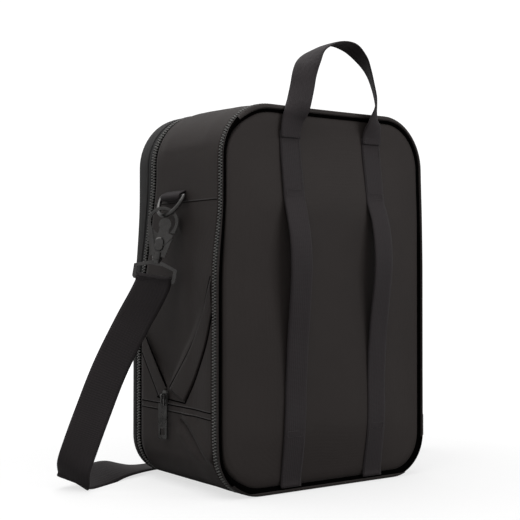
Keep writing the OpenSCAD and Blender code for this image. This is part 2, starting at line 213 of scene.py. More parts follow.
def coatedCloth(name, colour, weavePitch=0.55 * mm, mottle=0.12, shine=0.2):
    # tight plain weave under a matte coating, read in all three directions
    material, nodes, links, shader = nodeKit(name, colour, 0.62)
    place = nodes.new("ShaderNodeTexCoord").outputs["Object"]
    weave = mixNumbers(nodes, links, "ADD", bandWave(nodes, links, place, "X", weavePitch),
                       bandWave(nodes, links, place, "Z", weavePitch))
    weave = mixNumbers(nodes, links, "ADD", weave, bandWave(nodes, links, place, "Y", weavePitch))
    cloudy = noiseField(nodes, links, place, 9, 4)
    speckle = noiseField(nodes, links, place, 900, 2)
    links.new(tint(nodes, links, mixNumbers(nodes, links, "ADD",
              mixNumbers(nodes, links, "MULTIPLY", cloudy, 0.75),
              mixNumbers(nodes, links, "MULTIPLY", speckle, 0.25)),
              scaled(colour, 1 - mottle), scaled(colour, 1 + mottle)), shader.inputs["Base Color"])
    links.new(rangeOf(nodes, links, speckle, 0.52, 0.7), shader.inputs["Roughness"])
    soft = roughBump(nodes, links, shader, noiseField(nodes, links, place, 38, 3), 0.5 * mm, 0.35)
    roughBump(nodes, links, shader, weave, 0.05 * mm, 0.7, soft)
    shader.inputs["Sheen Weight"].default_value = 0.2 * shine
    shader.inputs["Sheen Roughness"].default_value = 0.45
    shader.inputs["Specular IOR Level"].default_value = shine
    return material


def wovenBand(name, colour, ribPitch, wale, depth=0.16 * mm, roughness=0.7, sheen=0.05):
    # webbing and tapes: ribs across the band and fine wales along it, on the piece's own map in metres
    material, nodes, links, shader = nodeKit(name, colour, roughness)
    flat = nodes.new("ShaderNodeUVMap").outputs["UV"]
    place = nodes.new("ShaderNodeTexCoord").outputs["Object"]
    ribs = bandWave(nodes, links, flat, "X", ribPitch)
    wales = bandWave(nodes, links, flat, "Y", wale)
    weave = mixNumbers(nodes, links, "ADD", ribs, mixNumbers(nodes, links, "MULTIPLY", wales, 0.6))
    cloudy = noiseField(nodes, links, place, 30, 3)
    shade = mixNumbers(nodes, links, "ADD", mixNumbers(nodes, links, "MULTIPLY", cloudy, 0.6),
                       mixNumbers(nodes, links, "MULTIPLY", weave, 0.25))
    links.new(tint(nodes, links, shade, scaled(colour, 0.72), scaled(colour, 1.2), 0.25, 0.8),
              shader.inputs["Base Color"])
    links.new(rangeOf(nodes, links, cloudy, roughness - 0.08, roughness + 0.08), shader.inputs["Roughness"])
    roughBump(nodes, links, shader, weave, depth, 0.8)
    shader.inputs["Sheen Weight"].default_value = sheen
    shader.inputs["Sheen Roughness"].default_value = 0.4
    shader.inputs["Specular IOR Level"].default_value = 0.3
    return material


def castMetal(name, colour, roughness, metallic):
    # satin painted or plated zinc: fine orange peel and slightly polished patches
    material, nodes, links, shader = nodeKit(name, colour, roughness, metallic)
    place = nodes.new("ShaderNodeTexCoord").outputs["Object"]
    handled = noiseField(nodes, links, place, 120, 3)
    links.new(rangeOf(nodes, links, handled, roughness - 0.1, roughness + 0.12), shader.inputs["Roughness"])
    links.new(tint(nodes, links, handled, scaled(colour, 0.85), scaled(colour, 1.15)),
              shader.inputs["Base Color"])
    roughBump(nodes, links, shader, noiseField(nodes, links, place, 1500, 2), 0.03 * mm, 0.4)
    return material


def makeMaterials():
    charcoal = (0.0235, 0.0186, 0.0172)
    return {
        "nylon": coatedCloth("coatedNylon", charcoal),
        "rim": coatedCloth("rimNylon", scaled(charcoal, 0.92), 0.6 * mm),
        "lining": coatedCloth("liningCloth", (0.03, 0.029, 0.03), 0.4 * mm, 0.06),
        "binding": wovenBand("ribbedBinding", (0.014, 0.0133, 0.013), 1.0 * mm, 2.2 * mm, 0.25 * mm,
                             0.65, 0.1),
        "webbing": wovenBand("strapWebbing", (0.0185, 0.014, 0.0155), 1.3 * mm, 2.4 * mm),
        "shoulder": wovenBand("shoulderWebbing", (0.0185, 0.0145, 0.0155), 1.6 * mm, 3.2 * mm),
        # the zip tapes are near-black: their own dark colour with painted shade beside the chain added in
        "tape": wovenBand("zipTapeAndShade", (0.003, 0.0029, 0.0028), 1.1 * mm, 0.8 * mm, 0.12 * mm),
        "thread": wovenBand("stitchThread", (0.055, 0.05, 0.05), 0.4 * mm, 0.4 * mm, 0.05 * mm),
        "coil": castMetal("zipCoil", (0.11, 0.108, 0.103), 0.3, 0.0),
        "board": coatedCloth("stiffenerBoard", (0.05, 0.05, 0.05), 1.2 * mm),
        "cast": castMetal("castZinc", (0.1, 0.097, 0.095), 0.27, 0.85),
        "slider": castMetal("sliderZinc", (0.13, 0.127, 0.124), 0.27, 0.85),
        "steel": castMetal("pinSteel", (0.3, 0.3, 0.3), 0.32, 0.9),
        # near-black cloth with no shine: painted shade, laid in grooves, gaps, folds and seam lines where
        # shade falls
        "gap": coatedCloth("paintedShadeCloth", (0.0015, 0.0014, 0.0014), 0.5 * mm, shine=0),
    }


placeCamera()
lightStudio()
finish = makeMaterials()
print("studio and finishes ready")


# tools for every piece
def toPiece(bm, name, material, body, replaces=()):
    bmesh.ops.recalc_face_normals(bm, faces=bm.faces)
    mesh = bpy.data.meshes.new(name)
    bm.to_mesh(mesh)
    bm.free()
    piece = bpy.data.objects.new(name, mesh)
    bpy.context.scene.collection.objects.link(piece)
    for one in material if isinstance(material, list) else [material]:
        mesh.materials.append(one)
    for face in mesh.polygons:
        face.use_smooth = True
    if isinstance(body, str):
        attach(piece, body)
    if replaces:
        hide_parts(*replaces)
    return piece


def outlinePoint(along):
    # point on the bag's outline, and its heading, a distance round from the middle of the base
    x = z = heading = 0.0
    for length, radius in legs:
        step = min(along, length)
        if radius:
            after = heading + step / radius
            x += radius * (math.sin(after) - math.sin(heading))
            z += radius * (math.cos(heading) - math.cos(after))
            heading = after
        else:
            x += step * math.cos(heading)
            z += step * math.sin(heading)
        along -= step
        if along <= 1e-9:
            break
    return Vector((x, 0, z)), heading


def cornerOf(x, z):
    # the nearest corner's radius, and the nearest point of the line through the corners' centres
    radius = bag["low"] if z < bag["height"] / 2 else bag["high"]
    reach = bag["width"] / 2 - radius
    return radius, max(-reach, min(reach, x)), max(bag["low"], min(bag["height"] - bag["high"], z))


def alongOutline(x, z):
    # the reverse: how far round from the middle of the base a point lies
    nearX, nearZ = cornerOf(x, z)[1:]
    angle = math.atan2(x - nearX, nearZ - z) % (2 * math.pi)
    if angle < 0.01 or angle > 2 * math.pi - 0.01:
        return x % around
    done = [sum(leg[0] for leg in legs[:count]) for count in range(len(legs))]
    if angle <= quarter + 0.01:
        return done[1] + bag["low"] * angle + nearZ - bag["low"]
    if angle <= 2 * quarter + 0.01:
        return done[3] + bag["high"] * (angle - quarter) + bag["halfTop"] - nearX
    if angle <= 3 * quarter + 0.01:
        return done[5] + bag["high"] * (angle - 2 * quarter) + bag["height"] - bag["high"] - nearZ
    return done[7] + bag["low"] * (angle - 3 * quarter) + nearX + bag["halfBase"]


def outward(point):
    # unit direction away from the bag's outline at a point near it
    nearX, nearZ = cornerOf(point.x, point.z)[1:]
    away = Vector((point.x - nearX, 0, point.z - nearZ))
    return away.normalized() if away.length > 1e-6 else Vector((0, 0, 1))


def insetOf(point):
    # how far in from the outline a point lies
    radius, nearX, nearZ = cornerOf(point.x, point.z)
    return radius - math.hypot(point.x - nearX, point.z - nearZ)


def sweepRound(bm, profile, runStep=6 * mm, cornerSteps=14):
    # carries a closed profile of (outward, depth) points once round the bag
    verts = [bm.verts.new((0, depth, -out)) for out, depth in profile]
    pairs = list(zip(verts, verts[1:] + verts[:1]))
    geometry = verts + [bm.edges.new(pair) for pair in pairs]
    heading, centre = 0.0, Vector((0, 0, 0))
    for length, radius in legs:
        if radius:
            hub = centre + Vector((-math.sin(heading), 0, math.cos(heading))) * radius
            geometry = bmesh.ops.spin(bm, geom=geometry, cent=hub, axis=(0, -1, 0), dvec=(0, 0, 0),
                                      angle=quarter, steps=cornerSteps)["geom_last"]
            heading += quarter
            centre = hub + Vector((math.sin(heading), 0, -math.cos(heading))) * radius
        else:
            steps = max(1, round(length / runStep))
            step = Vector((math.cos(heading), 0, math.sin(heading))) * length / steps
            geometry = bmesh.ops.spin(bm, geom=geometry, cent=(0, 0, 0), axis=(0, 1, 0), dvec=step,
                                      angle=0, steps=steps)["geom_last"]
            centre = centre + step * steps
    bmesh.ops.remove_doubles(bm, verts=bm.verts, dist=0.02 * mm)


# how far the filled bag has given way, in metres
slack = {"zipBack": 27 * mm, "coverBack": 14 * mm, "topForward": 6 * mm, "rightBack": 5 * mm,
         "chainForward": 5.5 * mm, "leftOut": 4.2, "rightTop": 3.5 * mm, "overRim": 0.97,
         "crownBack": 3 * mm, "crownFront": 1.2 * mm}


def settle(bm):
    # the filled bag has settled: on the strap's side the back zip runs down to the corner, the chain in
    # front leans with the panel, and the panel is pulled over the rim
    for vert in bm.verts:
        x, y, z = vert.co
        left = 1 - smoothStep(-100 * mm, 60 * mm, x)
        down = 1 - smoothStep(165 * mm, 315 * mm, z)
        dy = left * down * (slack["zipBack"] * smoothStep(22 * mm, 52 * mm, y) -
                            slack["coverBack"] * smoothStep(54 * mm, 86 * mm, y))
        dy -= left * slack["topForward"] * smoothStep(22 * mm, 50 * mm, y) * \
            smoothStep(285 * mm, 335 * mm, z) * (1 - smoothStep(50 * mm, 80 * mm, y))
        dy += (1 - left) * slack["rightBack"] * smoothStep(60 * mm, 86 * mm, y) * down
        chain = (1 - smoothStep(-74 * mm, -50 * mm, y)) * smoothStep(-92.7 * mm, -80 * mm, y)
        dy -= slack["chainForward"] * chain * smoothStep(235 * mm, 305 * mm, z)
        face = smoothStep(25 * mm, 75 * mm, -y) * smoothStep(60 * mm, 130 * mm, -x)
        low = (1 - smoothStep(210 * mm, 310 * mm, z)) * (0.5 + 0.5 * smoothStep(15 * mm, 70 * mm, z))
        dx = -face * (1 + slack["leftOut"] * low) * mm
        dx -= slack["rightTop"] * smoothStep(40 * mm, 85 * mm, -y) * smoothStep(60 * mm, 130 * mm, x) * \
            smoothStep(230 * mm, 370 * mm, z)
        inset = max(0.0, insetOf(vert.co))
        over = smoothStep(0.5, 0.98, -outward(vert.co).x) * smoothStep(84 * mm, 90 * mm, -y)
        dx -= slack["overRim"] * min(inset, panelInset) * over * (1 - smoothStep(7 * mm, 45 * mm, inset))
        lift = slack["crownBack"] * smoothStep(-60 * mm, 10 * mm, y) - \
            slack["crownFront"] * (1 - smoothStep(-92 * mm, -50 * mm, y))
        dz = lift * smoothStep(0.85, 1.0, z / bag["height"]) * (1 - (x / (0.5 * bag["width"])) ** 2)
        vert.co += Vector((dx, dy, dz))


def mapRound(bm):
    # lays the piece's map flat: distance round the bag by depth, both in metres
    layer = bm.loops.layers.uv.new("flat")
    for face in bm.faces:
        runs = [alongOutline(loop.vert.co.x, loop.vert.co.z) for loop in face.loops]
        wraps = max(runs) - min(runs) > around / 2
        for loop, run in zip(face.loops, runs):
            if wraps and run < around / 2:
                run += around
            loop[layer].uv = (run, loop.vert.co.y - 0.8 * insetOf(loop.vert.co))


def cutAt(bm, height, keepAbove):
    # trims a piece at the covers' hinge line and closes the cut
    bmesh.ops.bisect_plane(bm, geom=bm.verts[:] + bm.edges[:] + bm.faces[:], dist=1e-6,
                           plane_co=(0, 0, height), plane_no=(0, 0, 1),
                           clear_inner=keepAbove, clear_outer=not keepAbove)
    bmesh.ops.holes_fill(bm, edges=[edge for edge in bm.edges if edge.is_boundary], sides=0)


def smoothStep(low, high, value):
    t = max(0.0, min(1.0, (value - low) / (high - low)))
    return t * t * (3 - 2 * t)


def softNoise(point, size, seed=0.0):
    return noise.noise(Vector((point[0] / size + seed, point[1] / size, point[2] / size)))


def roundedGrid(bm, inset, columns, rows):
    # grid in the X-Z plane, centred, whose rim is the bag's outline drawn in by an inset
    bmesh.ops.create_grid(bm, x_segments=columns, y_segments=rows, size=0.5)
    width, height = bag["width"] - 2 * inset, bag["height"] - 2 * inset
    for vert in bm.verts:
        u, v = 2 * vert.co.x, 2 * vert.co.y
        ring = max(abs(u), abs(v))
        x, z = u * width / 2, v * height / 2
        r = ((bag["low"] if v < 0 else bag["high"]) - inset) * ring
        cornerX, cornerZ = ring * width / 2 - r, ring * height / 2 - r
        if abs(x) > cornerX and abs(z) > cornerZ and ring > 0:
            away = Vector((abs(x) - cornerX, abs(z) - cornerZ))
            reach = max(away.x, away.y)
            away = away.normalized() * reach
            x = math.copysign(cornerX + away.x, x)
            z = math.copysign(cornerZ + away.y, z)
        vert.co = (x, ring, z)  # the ring number rides in Y until the panel is shaped


def strapStrip(bm, place, width, length, thickness, columns, rows, edgeDrop=0.25 * mm):
    # flat webbing: place(across, along) gives centre-surface point and face direction, both from 0 to 1
    bmesh.ops.create_grid(bm, x_segments=columns, y_segments=rows, size=0.5)
    layer = bm.loops.layers.uv.new("flat")
    sheet = {vert: (vert.co.x + 0.5, vert.co.y + 0.5) for vert in bm.verts}
    for face in bm.faces:
        for loop in face.loops:
            across, along = sheet[loop.vert]
            loop[layer].uv = (along * length, across * width)
    made = bmesh.ops.duplicate(bm, geom=bm.verts[:] + bm.edges[:] + bm.faces[:])
    twin = {old: new for old, new in made["vert_map"].items() if isinstance(old, bmesh.types.BMVert)}
    copies = [item for item in made["geom"] if isinstance(item, bmesh.types.BMFace)]
    rims = [edge for edge in bm.edges if edge.is_boundary]
    for vert, (across, along) in sheet.items():
        point, facing = place(across, along)
        slim = thickness / 2 - edgeDrop * smoothStep(0.86, 1.0, abs(2 * across - 1))
        vert.co = point + facing * slim
        twin[vert].co = point - facing * slim
    bmesh.ops.reverse_faces(bm, faces=copies)
    bmesh.ops.bridge_loops(bm, edges=rims)


def splinePoint(points, t):
    i = min(int(t), len(points) - 2)
    u = t - i
    a, b, c, d = (Vector(points[max(0, min(len(points) - 1, k))]) for k in (i - 1, i, i + 1, i + 2))
    return 0.5 * (2 * b + (c - a) * u + (2 * a - 5 * b + 4 * c - d) * u * u +
                  (3 * b - a - 3 * c + d) * u ** 3)


def routeStrip(bm, route, sides, width, thickness, rows, columns=10, cup=0.0, ripple=0.0):
    # webbing along a smooth route; sides give the way its width points at each of the route's points
    last = len(route) - 1
    length = sum((splinePoint(route, last * (k + 1) / 80) - splinePoint(route, last * k / 80)).length
                 for k in range(80))

    def place(across, along):
        t = along * last
        centre = splinePoint(route, t)
        tangent = splinePoint(route, min(t + 0.05, last)) - splinePoint(route, max(t - 0.05, 0))
        tangent.normalize()
        side = splinePoint(sides, t)
        side = (side - side.dot(tangent) * tangent).normalized()
        facing = side.cross(tangent)
        off = 2 * across - 1
        bend = cup * (1 - off * off) + ripple * softNoise(centre + side * off * 0.01, 0.045)
        return centre + side * off * width / 2 + facing * bend, facing

    strapStrip(bm, place, width, length, thickness, columns, rows)
    return length


stitching = {"pitch": 2.6 * mm, "gap": 0.3, "thread": 0.32 * mm}


def stitchRun(bm, start, end, facing):
    # a row of short thread loops lying on a surface
    start, end, facing = Vector(start), Vector(end), Vector(facing).normalized()
    run = end - start
    count = max(1, round(run.length / stitching["pitch"]))
    along = run.normalized()
    across = facing.cross(along)
    turn = Matrix((along, across, facing)).transposed().to_4x4()
    for k in range(count):
        centre = start + run * (k + 0.5) / count
        size = Matrix.Diagonal((run.length / count * (1 - stitching["gap"]) / 2, stitching["thread"],
                                stitching["thread"] * 0.8, 1))
        bmesh.ops.create_uvsphere(bm, u_segments=6, v_segments=4, radius=1,
                                  matrix=Matrix.Translation(centre) @ turn @ size)


def boxStitch(bm, centre, width, height, across, up):
    facing = Vector(across).cross(Vector(up))
    corners = [Vector(centre) + Vector(across) * sx * width / 2 + Vector(up) * sz * height / 2
               for sx, sz in ((-1, -1), (1, -1), (1, 1), (-1, 1))]
    for a, b in zip(corners, corners[1:] + corners[:1]):
        stitchRun(bm, a, b, facing)


# sewn side wall with its pleats
sideWall = {"front": wallLow.y, "back": wallHigh.y, "thick": 4.8 * mm, "row": 3 * mm,
            "pleatDepth": 4.2 * mm, "apex": (20 * mm, 101 * mm), "frontTop": (-70 * mm, 207 * mm),
            "backTop": (48 * mm, 137 * mm)}


def insidePleat(y, z):
    # how far a point lies inside the V between the two pleat tapes, in metres
    apexY, apexZ = sideWall["apex"]
    margins = []
    for (topY, topZ), sign in ((sideWall["frontTop"], 1), (sideWall["backTop"], -1)):
        dy, dz = topY - apexY, topZ - apexZ
        margins.append(sign * (dz * (y - apexY) - dy * (z - apexZ)) / math.hypot(dy, dz))
    return min(margins)


def sideRelief(point):
    # how far the cloth stands in from its stretched line
    y, z = point.y, point.z
    onSide = smoothStep(0.96, 1.0, abs(outward(point).x))
    edge = min(y - sideWall["front"], sideWall["back"] - y)
    puff = 1.3 * mm * smoothStep(0, 26 * mm, edge) * (1 - 0.9 * onSide)
    fold = softNoise((point.x, y, z * 0.45), 0.055, 3.1) * 0.9 * mm * smoothStep(0, 20 * mm, edge)
    fine = softNoise((point.x, y, z), 0.02, 8.4) * 0.22 * mm
    inside = insidePleat(y, z)
    opened = smoothStep(95 * mm, 112 * mm, z) * (1 - smoothStep(128 * mm, 205 * mm, z))
    pleat = sideWall["pleatDepth"] * smoothStep(-1 * mm, 9 * mm, inside) * opened * onSide
    return -puff - min(0.0, fold) * 0.4 - fine + abs(fold) * 0.5 + pleat + creaseAt(y, z) * onSide


# diagonal fold below the slider: a sharp valley between a full swell in front and a smaller one behind
crease = {"from": (-1 * mm, 77 * mm), "to": (-80 * mm, 19 * mm), "valley": (0.0, 3.8 * mm, 3.4 * mm),
          "swells": ((-11 * mm, 3.4 * mm, 8 * mm), (10 * mm, 2.2 * mm, 6 * mm))}


def creaseAt(y, z):
    (ay, az), (by, bz) = crease["from"], crease["to"]
    length = math.hypot(by - ay, bz - az)
    off = ((by - ay) * (z - az) - (bz - az) * (y - ay)) / length
    run = ((by - ay) * (y - ay) + (bz - az) * (z - az)) / length ** 2
    held = smoothStep(0, 0.2, run) * (1 - smoothStep(0.9, 1.05, run))
    depth = 0.0
    for sign, (place, amount, spread) in zip((1, -1, -1), (crease["valley"], *crease["swells"])):
        depth += sign * amount * math.exp(-((off - place) / spread) ** 2)
    return held * depth


def buildSide():
    bm = bmesh.new()
    rows = round((sideWall["back"] - sideWall["front"]) / sideWall["row"])
    depths = [sideWall["front"] + (sideWall["back"] - sideWall["front"]) * k / rows for k in range(rows + 1)]
    outer = [(0.0, depth) for depth in depths]
    inner = [(-sideWall["thick"], depth) for depth in reversed(depths[::4] + [depths[-1]])]
    sweepRound(bm, outer + inner, 3 * mm, 26)
    mapRound(bm)
    for vert in bm.verts:
        away = outward(vert.co)
        if insetOf(vert.co) < 1 * mm:
            limit = 1.0 if vert.co.z > 12 * mm else 0.25
            vert.co -= away * sideRelief(vert.co) * limit
    for face in bm.faces:
        face.material_index = 1 if insetOf(face.calc_center_median()) > 4.4 * mm else 0
    settle(bm)
    piece = toPiece(bm, "bagSide", [finish["nylon"], finish["lining"]], "bag_body",
                    ("side_wall", "side_pleat_left", "side_pleat_right"))


buildSide()
print("side wall sewn")


# zips round both covers
zipChain = {"pitch": 3.1 * mm, "tooth": (1.5 * mm, 3.2 * mm, 2.2 * mm), "sunk": 0.5 * mm, "aside": 1.7 * mm,
            "softened": 0.4 * mm}


def buildZip(name, chainY, way, tapeEnd, body, node):
    # way is the side of the chain that this half lies on
    bm = bmesh.new()
    near, far = chainY + way * 0.9 * mm, tapeEnd
    low, high = min(near, far), max(near, far)
    sweepRound(bm, [(-2.3 * mm, low), (-2.3 * mm, high), (-1.1 * mm, high), (-0.9 * mm, (low + high) / 2),
                    (-1.1 * mm, low)], 8 * mm)
    cutAt(bm, hingeZ, True)
    mapRound(bm)
    settle(bm)
    toPiece(bm, name + "Tape", finish["tape"], body, (node,))
    bm = bmesh.new()
    count = round(around / zipChain["pitch"])
    for k in range(count):
        along = (k + (0.25 if way > 0 else 0.75)) * around / count
        point, heading = outlinePoint(along)
        if point.z < hingeZ + 1.2 * mm:
            continue
        tangent = Vector((math.cos(heading), 0, math.sin(heading)))
        away = Vector((math.sin(heading), 0, -math.cos(heading)))
        centre = point - away * zipChain["sunk"] + Vector((0, chainY + way * zipChain["aside"], 0))
        turn = Matrix((tangent, Vector((0, 1, 0)), away)).transposed().to_4x4()
        size = Matrix.Diagonal((*zipChain["tooth"], 1))
        bmesh.ops.create_cube(bm, size=1, matrix=Matrix.Translation(centre) @ turn @ size)
    bmesh.ops.bevel(bm, geom=bm.edges[:], offset=zipChain["softened"], segments=1, affect="EDGES",
                    profile=0.5, material=-1)
    settle(bm)
    toPiece(bm, name + "Teeth", finish["coil"], body)


buildZip("frontZipBody", frontChainY, 1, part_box("front_zip_base")[1].y, "bag_body", "front_zip_base")
buildZip("frontZipCover", frontChainY, -1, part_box("front_zip_lid")[0].y, "front_cover", "front_zip_lid")
buildZip("backZipBody", backChainY, -1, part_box("back_zip_base")[0].y, "bag_body", "back_zip_base")
buildZip("backZipCover", backChainY, 1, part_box("back_zip_lid")[1].y, "back_cover", "back_zip_lid")
print("zips set in")


# rims and base strips
def rimProfile(face, lip, edge, thick, crown, cuts=10):
    # from the lip along the outside, round the edge and back in over the face
    way = 1 if lip > face else -1
    points = []
    for k in range(cuts + 1):
        t = k / cuts
        points.append((crown * math.sin(math.pi * t), lip + (face + way * edge - lip) * t))
    for k in range(1, 7):
        angle = math.pi / 2 * k / 6
        points.append((-edge + edge * math.cos(angle), face + way * edge - way * edge * math.sin(angle)))
    points.append((-thick + 1.2 * mm, face + way * 0.1 * mm))
    points.append((-thick, face + way * 1.0 * mm))
    # a flange reaching in under the panel's edge, later given painted shade so that the gap to the panel
    # reads dark
    points.append((-thick - 0.6 * mm, face + way * 2.6 * mm))
    points.append((-thick - 3.4 * mm, face + way * 2.6 * mm))
    points.append((-thick - 3.4 * mm, face + way * 3.6 * mm))
    points.append((-thick, lip))
    return points


# where the rim's folded edge lies in the panel's shadow and is given painted shade: the way it faces, and the
# depth beyond which it does
rimShadow = {"side": (-0.7, -87.5 * mm), "foot": (-0.1, -91.2 * mm)}


def buildRim(name, node, face, lip, edge, body, material="rim"):
    bm = bmesh.new()
    sweepRound(bm, rimProfile(face, lip, edge, rimWidth, 0.35 * mm), 6 * mm, 16)
    cutAt(bm, hingeZ, True)
    mapRound(bm)
    (sideward, sideDepth), (downward, footDepth) = rimShadow["side"], rimShadow["foot"]
    # the inner faces under the lip, whose flange shows in the gap to the panel, and the folded edge in the
    # panel's shadow get painted shade (the near-black cloth)
    for part in bm.faces:
        middle = part.calc_center_median()
        away = outward(middle)
        shaded = (away.x < sideward and middle.y < sideDepth) or (away.z < downward and middle.y < footDepth)
        if shaded or insetOf(middle) > rimWidth + 0.1 * mm:
            part.material_index = 1
    settle(bm)
    toPiece(bm, name, [finish[material], finish["gap"]], body, (node,))


frontLow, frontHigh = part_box("front_rim")
backLow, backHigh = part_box("back_rim")
buildRim("frontRim", "front_rim", frontLow.y, frontHigh.y, 4.5 * mm, "front_cover")
buildRim("backRim", "back_rim", backHigh.y, backLow.y, 5 * mm, "back_cover", "binding")


def buildBaseStrip(name, node, face, lip, edge):
    bm = bmesh.new()
    sweepRound(bm, rimProfile(face, lip, edge, rimWidth, 0.0), 6 * mm, 16)
    cutAt(bm, hingeZ - 0.3 * mm, False)
    mapRound(bm)
    settle(bm)
    toPiece(bm, name, finish["rim"], "bag_body", (node,))


stripFront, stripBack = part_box("front_hinge_strip")[0].y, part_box("back_hinge_strip")[1].y
buildBaseStrip("frontBaseStrip", "front_hinge_strip", stripFront, sideWall["front"], 3 * mm)
buildBaseStrip("backBaseStrip", "back_hinge_strip", stripBack, sideWall["back"], 3 * mm)


def buildPiping():
    bm = bmesh.new()
    low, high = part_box("back_piping")
    # a fold line in painted shade, all of near-black cloth: only its two lips come up to the outside
    sweepRound(bm, [(-0.6 * mm, low.y), (-2.8 * mm, low.y + 0.9 * mm), (-3.4 * mm, (low.y + high.y) / 2),
                    (-2.4 * mm, high.y - 1.6 * mm), (-0.9 * mm, high.y - 0.9 * mm), (-0.9 * mm, high.y),
                    (-3.8 * mm, high.y), (-3.8 * mm, low.y)], 8 * mm)
    cutAt(bm, hingeZ, True)
    mapRound(bm)
    settle(bm)
    toPiece(bm, "backPiping", finish["gap"], "bag_body", ("back_piping",))


buildPiping()
print("rims bound")


# padded panels
panel = {"inset": panelInset, "sink": 3.0 * mm, "columns": 66, "rows": 96, "crown": 10.3 * mm,
         "edge": 2.2 * mm}


def crownAt(x, z):
    # how far the stuffed front stands in front of its flat face, away from its edges
    tall = smoothStep(-15 * mm, 75 * mm, z) * (1 - smoothStep(285 * mm, 385 * mm, z))
    wide = 1.12 - 1.12 * smoothStep(10 * mm, 140 * mm, abs(x)) ** 1.4
    return panel["crown"] * tall * min(1.05, wide + 0.02) - panel["sink"]


def panelRelief(x, z, ring):
    # height of the front panel's cloth above its flat face
    rounding = -panel["edge"] * smoothStep(0.95, 1.0, ring) ** 2
    soft = softNoise((x, 0, z * 0.5), 0.07, 5.0) * 0.9 * mm + softNoise((x, 0, z), 0.024, 1.0) * 0.2 * mm
    return crownAt(x, z) + rounding + soft * (1 - smoothStep(0.85, 0.98, ring))


def buildPanel(name, node, face, way, body, crown):
    # way is the side that the panel faces
    bm = bmesh.new()
    roundedGrid(bm, panel["inset"], panel["columns"], panel["rows"])
    low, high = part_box(node)
    inner = high.y if way < 0 else low.y
    rims = [edge for edge in bm.edges if edge.is_boundary]
    front = {vert: vert.co.y for vert in bm.verts}
    made = bmesh.ops.extrude_edge_only(bm, edges=rims)["geom"]
    backs = [item for item in made if isinstance(item, bmesh.types.BMVert)]
    for vert in backs:
        vert.co = (vert.co.x, inner, vert.co.z + bag["height"] / 2)
    for vert, ring in front.items():
        x, z = vert.co.x, vert.co.z + bag["height"] / 2
        relief = panelRelief(x, z, ring) if way < 0 else crown * (1 - ring ** 2)
        vert.co = (x, face + way * relief, z)
    bmesh.ops.holes_fill(bm, edges=[edge for edge in bm.edges if edge.is_boundary], sides=0)
    settle(bm)
    piece = toPiece(bm, name, finish["nylon"], body, (node,))


buildPanel("frontPanel", "front_panel", panelFront, -1, "front_cover", 0)
buildPanel("backPanel", "back_panel", panelBack, 1, "back_cover", 1.5 * mm)
print("panels padded")

bpy.context.view_layer.update()


# webbing on the front, and the carry handle
webbing = {"width": 26 * mm, "thick": 1.8 * mm, "strapX": 56 * mm, "bow": 13 * mm, "low": 6 * mm,
           "top": 376 * mm, "loose": (66 * mm, 308 * mm), "seams": (62 * mm, 312 * mm, 373 * mm)}


def strapStandoff(x, z):
    low, high = webbing["loose"]
    share = (z - low) / (high - low)
    bow = webbing["bow"] * math.sin(math.pi * share ** 2.1) ** 1.3 if 0 < share < 1 else 0.0
    rim = 1 - smoothStep(4 * mm, 14 * mm, z)
    return max(crownAt(x, z), -2.2 * mm) * (1 - rim) + bow


def buildFrontStrap(side):
    name = "left" if side < 0 else "right"
    length = webbing["top"] - webbing["low"]

    def place(across, along):
        z = webbing["low"] + along * length
        off = (2 * across - 1) * webbing["width"] / 2
        middle = side * webbing["strapX"]
        share = (z - webbing["loose"][0]) / (webbing["loose"][1] - webbing["loose"][0])
        free = smoothStep(0.0, 0.1, share) * (1 - smoothStep(0.9, 1.0, share))
        sway = 1.2 * mm * math.sin(z / 0.046 + side) * free
        curl = 0.6 * mm * softNoise((off * 3, side, z), 0.04, 2.0) * free
        y = panelFront - webbing["thick"] / 2 - strapStandoff(middle + off * 0.5, z) + curl
        return Vector((middle + off + sway, y, z)), Vector((0, -1, 0))

    bm = bmesh.new()
    strapStrip(bm, place, webbing["width"], length, webbing["thick"], 8, 120)
    piece = toPiece(bm, "frontStrap_" + name, finish["webbing"], "front_cover",
                    ("front_strap_" + name,))
    bm = bmesh.new()
    middle = side * webbing["strapX"]
    for seam in webbing["seams"]:
        top = seam > 350 * mm
        face = panelFront - webbing["thick"] * (2 if top else 1) - strapStandoff(middle, seam) - 0.25 * mm
        boxStitch(bm, (middle, face, seam), 20 * mm, 6 * mm, (1, 0, 0), (0, 0, 1))
    for edge in (-1, 1):
        x = middle + edge * (webbing["width"] / 2 - 2.2 * mm)
        for low, high in ((webbing["low"] + 3 * mm, webbing["seams"][0] - 5 * mm),
                          (webbing["seams"][1] + 5 * mm, webbing["seams"][2] - 5 * mm)):
            for k in range(4):
                ends = [low + (high - low) * (k + step) / 4 for step in (0, 0.97)]
                stitchRun(bm, *[(x, panelFront - webbing["thick"] - 0.2 * mm - strapStandoff(x, z), z)
                                for z in ends], (0, -1, 0))
    stitches = toPiece(bm, "frontStrapStitches_" + name, finish["thread"], "front_cover")


for side in (-1, 1):
    buildFrontStrap(side)


